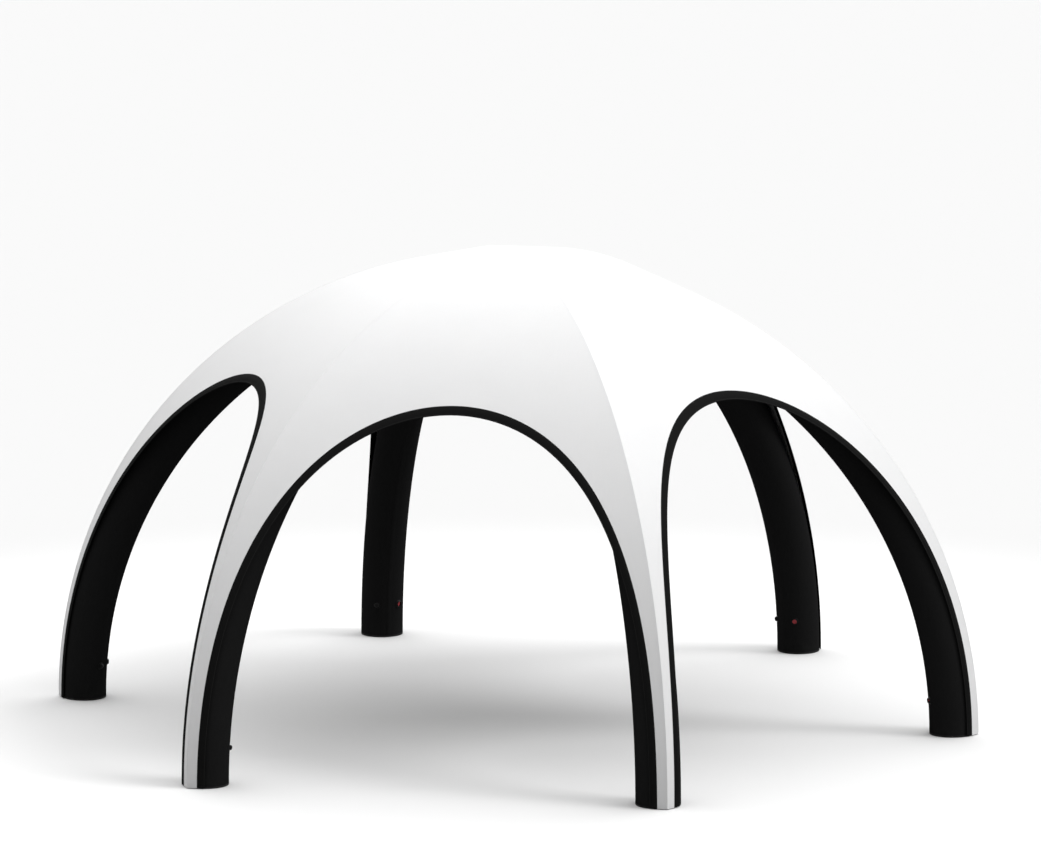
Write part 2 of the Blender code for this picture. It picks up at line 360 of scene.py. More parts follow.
def sleeve_cloth():
    """Black coated polyester: a fine weave, puckers by the lap, and paler low down as painted light, darker
    up under the canopy as painted shade.
    """
    material, tree, shader = finish_of("sleeve_cloth", Specular_IOR_Level=SLEEVE_GLOSS)
    cloth, around, along = cloth_map(tree)
    place = object_place(tree)
    # The sleeve is painted paler low down as painted light and darker high up as painted shade.
    painted_low_light = ramp(tree, split_up(tree, place)["Z"], *SLEEVE_LIGHT_HEIGHTS, 1.0, 0.0)
    weave = place_group(tree, WEAVE, Cloth=cloth, Threads_per_Metre=POLYESTER_THREADS)
    dust = place_group(tree, DUST, Place=place, Reach=DUST_REACH, Amount=DUST_AMOUNT)["Dust"]
    from_lap = work_out(tree, "SUBTRACT", math.pi * BEAM_RADIUS, work_out(tree, "ABSOLUTE", around))
    stitches = place_group(
        tree, LOCKSTITCH, Across=from_lap, Along=along, Row=LAP_HALF_WIDTH - LAP_STITCH_INSET,
        Stitch_Length=STITCH_LENGTH, Thread_Width=LAP_STITCH_WIDTH,
    )["Stitch"]
    close = work_out(tree, "MULTIPLY", around, PUCKER_NARROWING)
    pull = node(tree, "ShaderNodeCombineXYZ", {"X": close, "Y": along}).outputs[0]
    near_lap = ramp(tree, from_lap, LAP_HALF_WIDTH, PUCKER_REACH, 1.0, 0.0)
    puckers = work_out(tree, "MULTIPLY", noise(tree, pull, PUCKER_SCALE, detail=2.0), near_lap)
    slack = noise(tree, place, SLACK_SCALE, detail=3.0)
    dark = blend_colours(tree, painted_low_light, SLEEVE_DARK, SLEEVE_LIT_DARK)
    pale = blend_colours(tree, painted_low_light, SLEEVE_PALE, SLEEVE_LIT_PALE)
    threads = blend_colours(tree, weave["Tone"], dark, pale)
    sewn = blend_colours(tree, stitches, threads, SLEEVE_THREAD)
    tree.links.new(blend_colours(tree, dust, sewn, SLEEVE_DUST), shader.inputs["Base Color"])
    tree.links.new(ramp(tree, slack, *NOISE_MIDDLE, *POLYESTER_ROUGHNESS), shader.inputs["Roughness"])
    soft = bump(tree, slack, SLACK_DEPTH)
    puckered = bump(tree, puckers, PUCKER_DEPTH, soft)
    woven = bump(tree, weave["Height"], POLYESTER_DEPTH, puckered)
    tree.links.new(bump(tree, stitches, STITCH_DEPTH, woven), shader.inputs["Normal"])
    return material


def sleeve_section():
    """Half the sleeve's section as (angle, height of the lap), from its outer line to the lap's middle."""
    lap = math.degrees(LAP_HALF_WIDTH / BEAM_RADIUS)
    top = math.degrees((LAP_HALF_WIDTH - LAP_EDGE) / BEAM_RADIUS)
    plain = [(float(a), 0.0) for a in range(0, 180 - SLEEVE_ROUND_STEP, SLEEVE_ROUND_STEP)]
    lapped = [(180.0 - lap, 0.0), (180.0 - top, LAP_HEIGHT), (180.0, LAP_HEIGHT)]
    return [(math.radians(a), height) for a, height in plain + lapped]


def sheet_of(name, rows, cloth_rows):
    """A mesh of quads through rows of points, with their places on the cloth, in metres, as its map."""
    mesh = bpy.data.meshes.new(name)
    across = len(rows[0])
    faces = []
    for i in range(len(rows) - 1):
        for j in range(across - 1):
            corner = i * across + j
            faces.append((corner, corner + 1, corner + across + 1, corner + across))
    mesh.from_pydata([point for row in rows for point in row], [], faces)
    places = [place for row in cloth_rows for place in row]
    layer = mesh.uv_layers.new(name="cloth")
    for loop, uv in zip(mesh.loops, layer.uv):
        uv.vector = places[loop.vertex_index]
    return mesh


def keep_side(bm, through, away):
    """Cuts a mesh with a plane and drops what lies on the side it faces."""
    geometry = bm.verts[:] + bm.edges[:] + bm.faces[:]
    bmesh.ops.bisect_plane(
        bm, geom=geometry, dist=SAME_POINT, plane_co=through, plane_no=away, clear_outer=True,
    )


def sleeve_mesh():
    """One sleeve along +X, with its lap, cut level on its foot cap and mitred against its neighbours."""
    half = sleeve_section()
    section = [(-angle, height) for angle, height in reversed(half)] + half[1:]
    sideways = Vector((0.0, 1.0, 0.0))
    rows, cloth_rows = [], []
    for step in range(SLEEVE_RINGS + 1):
        turn = -SLEEVE_OVERRUN + (math.pi / 2 + 2 * SLEEVE_OVERRUN) * step / SLEEVE_RINGS
        outward = Vector((math.cos(turn), 0.0, math.sin(turn)))
        centre = outward * BEAM_ARC_RADIUS
        row = []
        for angle, height in section:
            reach = BEAM_RADIUS + height
            row.append(centre + (outward * math.cos(angle) + sideways * math.sin(angle)) * reach)
        rows.append(row)
        cloth_rows.append([(angle * BEAM_RADIUS, turn * BEAM_ARC_RADIUS) for angle, height in section])
    mesh = sheet_of("sleeve", rows, cloth_rows)
    bm = bmesh.new()
    bm.from_mesh(mesh)
    bmesh.ops.remove_doubles(bm, verts=bm.verts, dist=SAME_POINT)
    keep_side(bm, (0.0, 0.0, CAP_TOP), (0.0, 0.0, -1.0))
    for side in (1.0, -1.0):
        keep_side(bm, (0.0, 0.0, 0.0), (-math.sin(HALF_SIXTH), side * math.cos(HALF_SIXTH), 0.0))
    bmesh.ops.recalc_face_normals(bm, faces=bm.faces)
    bm.to_mesh(mesh)
    bm.free()
    mesh.shade_smooth()
    return mesh


def ring_of_six(prefix, places, mesh, first_turn, body, stands_for):
    """Six copies of a mesh round the centre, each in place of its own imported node."""
    made = []
    for index, place in enumerate(places):
        own = mesh.copy()
        own.transform(Matrix.Rotation(first_turn + index * 2 * HALF_SIXTH, 4, "Z"))
        piece = new_object(prefix + "_" + place, own)
        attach(piece, body)
        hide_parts(stands_for + "_" + place)
        made.append(piece)
    return made


sleeve = sleeve_mesh()
sleeve.materials.append(sleeve_cloth())
ring_of_six("beam_sleeve", BEAM_PLACES, sleeve, 0.0, "frame", "beam")

# The crown piping
# Where two neighbouring sleeves meet at the crown they are sewn together along the mitre, over a
# thin black cord. The six seams run from the top of the crown round to its underside.
PIPING_RADIUS = 0.0025
PIPING_STEPS = 40
PIPING_ROUNDING = 3
PIPING_ROUGHNESS = 0.8
PIPING_GLOSS = 0.02
PIPING_GRAIN_SCALE = 220.0
PIPING_GRAIN_DEPTH = 0.0005
PIPING_DARK = (0.003, 0.003, 0.003)
PIPING_PALE = (0.007, 0.007, 0.007)


def piping_cloth():
    """Black bias tape over a cord, with the tape's fine grain."""
    material, tree, shader = finish_of(
        "piping_cloth", Roughness=PIPING_ROUGHNESS, Specular_IOR_Level=PIPING_GLOSS,
    )
    grain = noise(tree, object_place(tree), PIPING_GRAIN_SCALE, detail=2.0)
    tree.links.new(blend_colours(tree, grain, PIPING_DARK, PIPING_PALE), shader.inputs["Base Color"])
    tree.links.new(bump(tree, grain, PIPING_GRAIN_DEPTH), shader.inputs["Normal"])
    return material


def mitre_line(side_turn):
    """The line where two sleeves cross, from the top of the crown round to its underside."""
    plane = Vector((math.cos(side_turn), math.sin(side_turn), 0.0))
    line = []
    for step in range(PIPING_STEPS + 1):
        round_turn = math.pi * step / PIPING_STEPS
        reach = BEAM_ARC_RADIUS + BEAM_RADIUS * math.cos(round_turn)
        aside = BEAM_RADIUS * math.sin(round_turn)
        outward = aside / math.tan(HALF_SIXTH)
        height = math.sqrt(reach ** 2 - outward ** 2)
        line.append(plane * (aside / math.sin(HALF_SIXTH)) + Vector((0.0, 0.0, height)))
    return line


piping_path = bpy.data.curves.new("crown_piping", "CURVE")
piping_path.dimensions = "3D"
piping_path.bevel_depth = PIPING_RADIUS
piping_path.bevel_resolution = PIPING_ROUNDING
for index in range(SIDES):
    seam_line = mitre_line(HALF_SIXTH + index * 2 * HALF_SIXTH)
    spline = piping_path.splines.new("POLY")
    spline.points.add(len(seam_line) - 1)
    for point, place in zip(spline.points, seam_line):
        point.co = (*place, 1.0)
crown_piping = new_object("crown_piping", piping_path, piping_cloth())
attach(crown_piping, "frame")

# The foot caps
# A round cap of moulded black rubber closes each beam at the ground. Its rim is rolled under, and a
# shallow groove round its side takes the edge of the sleeve.
CAP_STEPS = 96
CAP_ROLL = 0.004
CAP_ROLL_STEPS = 6
CAP_GROOVE = 0.0015
CAP_GROOVE_HEIGHT = 0.002
CAP_LIP = 0.001
MOULDING_EDGE = math.radians(40.0)
RUBBER_GLOSS = 0.25
RUBBER_ROUGHNESS = (0.55, 0.8)
RUBBER_GRAIN_SCALE = 500.0
RUBBER_GRAIN_DEPTH = 0.0002
RUBBER_DARK = (0.006, 0.006, 0.006)
RUBBER_PALE = (0.014, 0.014, 0.014)
RUBBER_DUST = (0.16, 0.15, 0.14)
RUBBER_DUST_REACH = 0.03
RUBBER_DUST_AMOUNT = 0.1


def moulded_rubber():
    """Matt black rubber with the fine grain of its mould, dusty where it meets the ground."""
    material, tree, shader = finish_of("moulded_rubber", Specular_IOR_Level=RUBBER_GLOSS)
    place = object_place(tree)
    grain = noise(tree, place, RUBBER_GRAIN_SCALE, detail=3.0)
    dust = place_group(tree, DUST, Place=place, Reach=RUBBER_DUST_REACH, Amount=RUBBER_DUST_AMOUNT)["Dust"]
    black = blend_colours(tree, grain, RUBBER_DARK, RUBBER_PALE)
    tree.links.new(blend_colours(tree, dust, black, RUBBER_DUST), shader.inputs["Base Color"])
    tree.links.new(ramp(tree, grain, *NOISE_MIDDLE, *RUBBER_ROUGHNESS), shader.inputs["Roughness"])
    tree.links.new(bump(tree, grain, RUBBER_GRAIN_DEPTH), shader.inputs["Normal"])
    return material


def turned(name, profile, steps, ribs=0, rib_depth=0.0, ribbed=(0.0, 0.0)):
    """A round moulding turned from (radius, height) points, with grip ribs between the ribbed heights."""
    bm = bmesh.new()
    rings = []
    for radius, height in profile:
        ring = []
        for step in range(steps):
            turn = 2 * math.pi * step / steps
            grip = rib_depth * math.cos(ribs * turn) if ribbed[0] <= height <= ribbed[1] else 0.0
            reach = radius + grip if radius > 0.0 else 0.0
            ring.append(bm.verts.new((reach * math.cos(turn), reach * math.sin(turn), height)))
        rings.append(ring)
    for low, high in zip(rings, rings[1:]):
        for step in range(steps):
            after = (step + 1) % steps
            bm.faces.new((low[step], low[after], high[after], high[step]))
    bmesh.ops.remove_doubles(bm, verts=bm.verts, dist=SAME_POINT)
    bmesh.ops.recalc_face_normals(bm, faces=bm.faces)
    mesh = bpy.data.meshes.new(name)
    bm.to_mesh(mesh)
    bm.free()
    mesh.shade_smooth()
    mesh.set_sharp_from_angle(angle=MOULDING_EDGE)
    return mesh


def cap_profile():
    """The cap's section from the middle of its underside to the middle of its top."""
    roll = []
    for step in range(CAP_ROLL_STEPS + 1):
        turn = math.pi / 2 * step / CAP_ROLL_STEPS
        across = BEAM_RADIUS - CAP_ROLL + CAP_ROLL * math.sin(turn)
        roll.append((across, CAP_ROLL - CAP_ROLL * math.cos(turn)))
    groove_top = CAP_TOP - CAP_LIP
    groove_foot = groove_top - CAP_GROOVE_HEIGHT
    groove = [
        (BEAM_RADIUS, groove_foot - CAP_LIP), (BEAM_RADIUS - CAP_GROOVE, groove_foot),
        (BEAM_RADIUS - CAP_GROOVE, groove_top), (BEAM_RADIUS, CAP_TOP),
    ]
    return [(0.0, 0.0)] + roll + groove + [(0.0, CAP_TOP)]


cap = turned("cap", cap_profile(), CAP_STEPS)
cap.transform(Matrix.Translation((BEAM_ARC_RADIUS, 0.0, 0.0)))
cap.materials.append(moulded_rubber())
ring_of_six("foot_cap_moulding", BEAM_PLACES, cap, 0.0, "frame", "foot_cap")

# The inflation valves
# On the inner side of each beam, a quarter of a metre above the ground: a flange welded into the
# sleeve, a narrow neck and a ribbed black cap that screws off to take the pump's hose.
VALVE_HEIGHT = 0.254
VALVE_TURN = math.radians(32.14)
VALVE_STEPS = 96
INFLATION_PROFILE = (
    (0.0000, 0.0215), (0.0045, 0.0212), (0.0080, 0.0203), (0.0112, 0.0188), (0.0138, 0.0167),
    (0.0156, 0.0140), (0.0166, 0.0110), (0.0169, 0.0088), (0.0164, 0.0074), (0.0130, 0.0066),
    (0.0126, 0.0050), (0.0180, 0.0038), (0.0220, 0.0032), (0.0243, 0.0024), (0.0250, 0.0010),
    (0.0250, -0.0010),
)
GRIP = {"ribs": 24, "rib_depth": 0.0006, "ribbed": (0.0080, 0.0145)}
PLASTIC_GLOSS = 0.12
PLASTIC_SMOOTHER = 0.06
PLASTIC_ROUGHER = 0.1
PLASTIC_GRAIN_SCALE = 900.0
PLASTIC_GRAIN_DEPTH = 0.0001
PLASTIC_CLOUD_SCALE = 60.0
BLACK_ROUGHNESS = 0.38
BLACK_DARK = (0.004, 0.004, 0.004)
BLACK_PALE = (0.007, 0.007, 0.007)


def valve_seat(side):
    """Where a valve stands on the beam along +X, on its inner side and turned to one hand or the other."""
    rise = math.asin(VALVE_HEIGHT / BEAM_ARC_RADIUS)
    out = Vector((math.cos(rise), 0.0, math.sin(rise)))
    upwards = Vector((-math.sin(rise), 0.0, math.cos(rise)))
    outwards = -out * math.cos(VALVE_TURN) + Vector((0.0, side, 0.0)) * math.sin(VALVE_TURN)
    axes = Matrix((upwards.cross(outwards), upwards, outwards)).transposed()
    return Matrix.Translation(out * BEAM_ARC_RADIUS + outwards * BEAM_RADIUS) @ axes.to_4x4()


def moulded_plastic(name, dark, pale, roughness):
    """Hard moulded plastic with a faint spark grain and slightly uneven colour."""
    material, tree, shader = finish_of(name, Specular_IOR_Level=PLASTIC_GLOSS)
    place = object_place(tree)
    grain = noise(tree, place, PLASTIC_GRAIN_SCALE, detail=2.0)
    cloud = noise(tree, place, PLASTIC_CLOUD_SCALE, detail=3.0)
    rough = ramp(tree, grain, *NOISE_MIDDLE, roughness - PLASTIC_SMOOTHER, roughness + PLASTIC_ROUGHER)
    tree.links.new(blend_colours(tree, cloud, dark, pale), shader.inputs["Base Color"])
    tree.links.new(rough, shader.inputs["Roughness"])
    tree.links.new(bump(tree, grain, PLASTIC_GRAIN_DEPTH), shader.inputs["Normal"])
    return material


black_plastic = moulded_plastic("black_plastic", BLACK_DARK, BLACK_PALE, BLACK_ROUGHNESS)
inflation_valve = turned("inflation_valve", INFLATION_PROFILE, VALVE_STEPS, **GRIP)
inflation_valve.transform(valve_seat(1.0))
inflation_valve.materials.append(black_plastic)
ring_of_six(
    "inflation_valve_moulding", BEAM_PLACES, inflation_valve, 0.0, "frame",
    "inflation_valve",
)

# The relief valves
# Beside each inflation valve sits the one that lets off air in hot sun: a red disc with a small boss,
# sunk deep in the open end of a short black barrel that stands on its own welded flange.
BARREL_PROFILE = (
    (0.0174, 0.0018), (0.0174, 0.0129), (0.0176, 0.0137), (0.0182, 0.0141), (0.0187, 0.0137),
    (0.0190, 0.0127), (0.0194, 0.0070), (0.0200, 0.0054), (0.0225, 0.0040), (0.0250, 0.0034),
    (0.0264, 0.0024), (0.0270, 0.0009), (0.0270, -0.0010),
)
DISC_PROFILE = (
    (0.0000, 0.0049), (0.0032, 0.0048), (0.0040, 0.0042), (0.0044, 0.0034), (0.0090, 0.0035),
    (0.0150, 0.0033), (0.0165, 0.0029), (0.0175, 0.0020),
)
RED_ROUGHNESS = 0.34
RED_DARK = (0.60, 0.080, 0.095)
RED_PALE = (0.70, 0.110, 0.125)


def relief_valve_mesh():
    """The black barrel with its red disc, as one moulding of two plastics."""
    mesh = turned("relief_valve", BARREL_PROFILE, VALVE_STEPS)
    disc = turned("relief_disc", DISC_PROFILE, VALVE_STEPS)
    bm = bmesh.new()
    bm.from_mesh(mesh)
    barrel_faces = len(bm.faces)
    bm.from_mesh(disc)
    bm.faces.ensure_lookup_table()
    for face in bm.faces[barrel_faces:]:
        face.material_index = 1
    bm.to_mesh(mesh)
    bm.free()
    bpy.data.meshes.remove(disc)
    return mesh


relief_valve = relief_valve_mesh()
relief_valve.transform(valve_seat(-1.0))
relief_valve.materials.append(black_plastic)
relief_valve.materials.append(moulded_plastic("red_plastic", RED_DARK, RED_PALE, RED_ROUGHNESS))
ring_of_six(
    "relief_valve_moulding", BEAM_PLACES, relief_valve, 0.0, "frame", "relief_valve",
)

# The canopy skin
# One white sheet sewn from six sixths along the ridges, lined in dark grey. Each sixth curves one way
# only, like part of a barrel, and an arch is cut through it that leaves a narrow strip down each ridge.
PANEL_PLACES = ("back_right", "back", "back_left", "front_left", "front", "front_right")
CANOPY_ARC_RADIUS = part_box("canopy_panel_back")[1].z
HEM_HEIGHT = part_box("canopy_panel_back")[0].z
HEM_STITCH_HEIGHTS = (0.012, 0.028)
DOOR_HALF_WIDTH = 1.581
DOOR_CROWN_HEIGHT = 2.509
DOOR_CROWN_HANDLE = 0.451
DOOR_SHOULDER = Vector((1.568, 2.272))
DOOR_FINE_STEPS = 400
DOOR_ROWS = 110
CROWN_ROWS = 40
SKIN_COLUMNS = 10
SKIN_THICKNESS = 0.002
SEAM_REACH = 1e-5
TRIM_WIDTH = 0.055
RIDGE_TURN_AT_DOOR_CROWN = math.radians(62.0)
RIDGE_CREASE = math.radians(8.0)
WHITE_FINISH = {"Specular_IOR_Level": 0.2, "Sheen_Weight": 0.05, "Sheen_Roughness": 0.5}
WHITE_DARK = (0.70, 0.70, 0.70)
WHITE_PALE = (0.76, 0.76, 0.765)
WHITE_DUST = (0.42, 0.40, 0.36)
CLOUD_WHITE = (0.66, 0.66, 0.665)
CLOUD_SHARE = 0.12
CLOUD_SCALE = 1.6
CLOUD_DEPTH = 0.006
CANOPY_STITCH_WIDTH = 0.0018
WHITE_STITCH_DEPTH = 0.00025
WHITE_THREAD = (0.55, 0.55, 0.55)
WHITE_THREAD_SHARE = 0.12
LINING_GLOSS = 0.1
LINING_ROUGHNESS = 0.85
LINING_THREADS = 240.0
LINING_DEPTH = 0.0006
YARN_SCALE = 105.0
YARN_SHARE = 0.8
YARN_CLOUD_SCALE = 22.0
YARN_CLOUD_SHARE = 0.5
FLECK_SPAN = (0.2, 1.1)
LINING_DARK = (0.066, 0.066, 0.067)
LINING_PALE = (0.207, 0.207, 0.207)
# Painted light and shade on the lining: paler low down the strips, where light reaches in, and darker high
# in the dome's shade.
LINING_LIGHT_HEIGHTS = (1.15, 1.95)
LINING_LIT_DARK = (0.185, 0.185, 0.186)
LINING_LIT_PALE = (0.58, 0.58, 0.58)


def on_panel(across, turn, lift=0.0):
    """A point on the sixth that faces +X, by its distance across and its turn up from the ground."""
    squash = math.cos(HALF_SIXTH)
    point = Vector((CANOPY_ARC_RADIUS * squash * math.cos(turn), across, CANOPY_ARC_RADIUS * math.sin(turn)))
    outward = Vector((math.cos(turn), 0.0, squash * math.sin(turn))).normalized()
    return point + outward * lift


def ridge_across(turn):
    """How far the ridge is from the middle of its sixth at this turn up from the ground."""
    return CANOPY_ARC_RADIUS * math.sin(HALF_SIXTH) * math.cos(turn)


def door_point(t, inset):
    """A point of the door arch seen square on, from its crown at 0 to the ground at 1, moved in."""
    corners = (
        Vector((0.0, DOOR_CROWN_HEIGHT)), Vector((DOOR_CROWN_HANDLE, DOOR_CROWN_HEIGHT)), DOOR_SHOULDER,
        Vector((DOOR_HALF_WIDTH, 0.0)),
    )
    weights = ((1 - t) ** 3, 3 * (1 - t) ** 2 * t, 3 * (1 - t) * t * t, t ** 3)
    slopes = (3 * (1 - t) ** 2, 6 * (1 - t) * t, 3 * t * t)
    point = sum((corner * weight for corner, weight in zip(corners, weights)), Vector((0.0, 0.0)))
    steps = (after - before for before, after in zip(corners, corners[1:]))
    along = sum((step * slope for step, slope in zip(steps, slopes)), Vector((0.0, 0.0))).normalized()
    return point + Vector((along.y, -along.x)) * inset


def door_edge(inset):
    """The arch's edge from the ground up to its crown, as (across, turn) at even steps along it."""
    line = [door_point(1 - step / DOOR_FINE_STEPS, inset) for step in range(DOOR_FINE_STEPS + 1)]
    line = [Vector((point.x, max(point.y, HEM_HEIGHT))) for point in line]
    run = [0.0]
    for before, after in zip(line, line[1:]):
        run.append(run[-1] + (after - before).length)
    edge, index = [], 0
    for step in range(DOOR_ROWS + 1):
        wanted = run[-1] * step / DOOR_ROWS
        while index < DOOR_FINE_STEPS - 1 and run[index + 1] < wanted:
            index += 1
        part = (wanted - run[index]) / max(run[index + 1] - run[index], SAME_POINT)
        point = line[index].lerp(line[index + 1], min(part, 1.0))
        edge.append((point.x, math.asin(point.y / CANOPY_ARC_RADIUS)))
    return edge


def half_panel(side):
    """The rows of half a sixth, each from the ridge to the door's edge or, above it, to the middle."""
    hem_turn = math.asin(HEM_HEIGHT / CANOPY_ARC_RADIUS)
    inner_line = door_edge(TRIM_WIDTH)
    crown_turn = inner_line[-1][1]
    ridge = [
        hem_turn + (RIDGE_TURN_AT_DOOR_CROWN - hem_turn) * step / DOOR_ROWS for step in range(DOOR_ROWS + 1)
    ]
    for step in range(1, CROWN_ROWS + 1):
        part = step / CROWN_ROWS
        ridge.append(RIDGE_TURN_AT_DOOR_CROWN + (math.pi / 2 - RIDGE_TURN_AT_DOOR_CROWN) * part)
        inner_line.append((0.0, crown_turn + (math.pi / 2 - crown_turn) * part))
    rows, cloth_rows = [], []
    for ridge_turn, (inner_across, inner_turn) in zip(ridge, inner_line):
        row, cloth_row = [], []
        for column in range(SKIN_COLUMNS + 1):
            part = column / SKIN_COLUMNS
            turn = ridge_turn + (inner_turn - ridge_turn) * part
            across = ridge_across(ridge_turn) + (inner_across - ridge_across(ridge_turn)) * part
            row.append(on_panel(side * across, turn))
            cloth_row.append((side * across, turn * CANOPY_ARC_RADIUS))
        rows.append(row)
        cloth_rows.append(cloth_row)
    return rows, cloth_rows


def skin_mesh():
    """The whole skin as one mesh: twelve half sixths joined along the ridges and up the middles."""
    bm = bmesh.new()
    for index in range(SIDES):
        turn = Matrix.Rotation(HALF_SIXTH + index * 2 * HALF_SIXTH, 4, "Z")
        for side in (1.0, -1.0):
            rows, cloth_rows = half_panel(side)
            half = sheet_of("half_panel", rows, cloth_rows)
            half.transform(turn)
            bm.from_mesh(half)
            bpy.data.meshes.remove(half)
    bmesh.ops.remove_doubles(bm, verts=bm.verts, dist=SEAM_REACH)
    bmesh.ops.dissolve_degenerate(bm, edges=bm.edges, dist=SAME_POINT)
    for face in bm.faces:
        if face.normal.dot(face.calc_center_median()) < 0.0:
            face.normal_flip()
    for edge in bm.edges:
        edge.smooth = not edge.is_boundary and edge.calc_face_angle() < RIDGE_CREASE
    for face in bm.faces:
        face.smooth = True
    mesh = bpy.data.meshes.new("canopy_skin")
    bm.to_mesh(mesh)
    bm.free()
    return mesh


def canopy_white(name, stitch_rows):
    """White coated polyester, finely woven and faintly uneven, with stitches in rows of its own white."""
    material, tree, shader = finish_of(name, **WHITE_FINISH)
    cloth, across, along = cloth_map(tree)
    place = object_place(tree)
    weave = place_group(tree, WEAVE, Cloth=cloth, Threads_per_Metre=POLYESTER_THREADS)
    dust = place_group(tree, DUST, Place=place, Reach=DUST_REACH, Amount=DUST_AMOUNT)["Dust"]
    cloud = noise(tree, place, CLOUD_SCALE, detail=4.0)
    threads = blend_colours(tree, weave["Tone"], WHITE_DARK, WHITE_PALE)
    clouded = ramp(tree, cloud, *NOISE_MIDDLE, 0.0, CLOUD_SHARE)
    colour = blend_colours(tree, clouded, threads, CLOUD_WHITE)
    normal = bump(tree, weave["Height"], POLYESTER_DEPTH, bump(tree, cloud, CLOUD_DEPTH))
    for line, run, row in stitch_rows(tree, across, along):
        stitches = place_group(
            tree, LOCKSTITCH, Across=line, Along=run, Row=row,
            Stitch_Length=STITCH_LENGTH, Thread_Width=CANOPY_STITCH_WIDTH,
        )["Stitch"]
        faint = work_out(tree, "MULTIPLY", stitches, WHITE_THREAD_SHARE)
        colour = blend_colours(tree, faint, colour, WHITE_THREAD)
        normal = bump(tree, stitches, WHITE_STITCH_DEPTH, normal)
    rough = ramp(tree, weave["Tone"], *NOISE_MIDDLE, *POLYESTER_ROUGHNESS)
    tree.links.new(blend_colours(tree, dust, colour, WHITE_DUST), shader.inputs["Base Color"])
    tree.links.new(rough, shader.inputs["Roughness"])
    tree.links.new(normal, shader.inputs["Normal"])
    return material


def canopy_lining():
    """The grey inner face: mixed yarns that show as a salt-and-pepper speckle, its weave's hollows darker as
    painted shade, paler low down the strips as painted light and darker high in the dome as painted shade.
    """
    material, tree, shader = finish_of(
        "canopy_lining", Specular_IOR_Level=LINING_GLOSS, Roughness=LINING_ROUGHNESS,
    )
    cloth = cloth_map(tree)[0]
    height = split_up(tree, object_place(tree))["Z"]
    weave = place_group(tree, WEAVE, Cloth=cloth, Threads_per_Metre=LINING_THREADS)
    yarns = node(tree, "ShaderNodeTexVoronoi", {"Vector": cloth, "Scale": YARN_SCALE}).outputs["Color"]
    speckle = node(tree, "ShaderNodeSeparateColor", {0: yarns}).outputs[0]
    speckled = work_out(tree, "MULTIPLY", speckle, YARN_SHARE)
    cloud = noise(tree, cloth, YARN_CLOUD_SCALE, detail=4.0)
    fleck = ramp(tree, work_out(tree, "MULTIPLY_ADD", cloud, YARN_CLOUD_SHARE, speckled), *FLECK_SPAN)
    # The lining is painted paler low down as painted light and darker high up as painted shade.
    lining_painted_light = ramp(tree, height, *LINING_LIGHT_HEIGHTS, 1.0, 0.0)
    dark = blend_colours(tree, lining_painted_light, LINING_DARK, LINING_LIT_DARK)
    pale = blend_colours(tree, lining_painted_light, LINING_PALE, LINING_LIT_PALE)
    grey = blend_colours(tree, fleck, dark, pale)
    # The hollows between the threads are painted darker: painted shade.
    hollows_painted_shade = blend_colours(tree, weave["Height"], dark, grey)
    tree.links.new(hollows_painted_shade, shader.inputs["Base Color"])
    tree.links.new(bump(tree, weave["Height"], LINING_DEPTH), shader.inputs["Normal"])
    return material


def hem_rows(tree, across, along):
    """Two rows of stitches just above the hem at the foot of each strip."""
    return [(along, across, HEM_HEIGHT + height) for height in HEM_STITCH_HEIGHTS]


skin = new_object("canopy_skin", skin_mesh(), canopy_white("canopy_white", hem_rows), canopy_lining())
skin_layers = skin.modifiers.new("skin_and_lining", "SOLIDIFY")
skin_layers.thickness = SKIN_THICKNESS
skin_layers.offset = -1.0
skin_layers.use_even_offset = True
skin_layers.material_offset = 1
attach(skin, "canopy")
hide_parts(*("canopy_panel_" + place for place in PANEL_PLACES))

# The ridge tapes
# The six sixths meet in flat-felled seams along the ridges. Each is covered by a white tape folded over
# the ridge, sewn down along both edges, and a round patch covers the place where the six tapes meet.
TAPE_HALF_WIDTH = 0.011
TAPE_LIFT = 0.0003
TAPE_TUCK_SHARE = 0.02
TAPE_STITCH_INSET = 0.003
TAPE_ROWS = 150
TAPE_END_SHARE = 0.6
PATCH_RADIUS = 0.075
PATCH_LIFT = 0.0012
PATCH_TUCK = 0.0006
PATCH_RINGS = 8
PATCH_STEPS = 72


def tape_rows(tree, across, along):
    """One row of stitches inside each edge of the tape."""
    row = TAPE_HALF_WIDTH - TAPE_STITCH_INSET
    return [(across, along, row), (across, along, -row)]


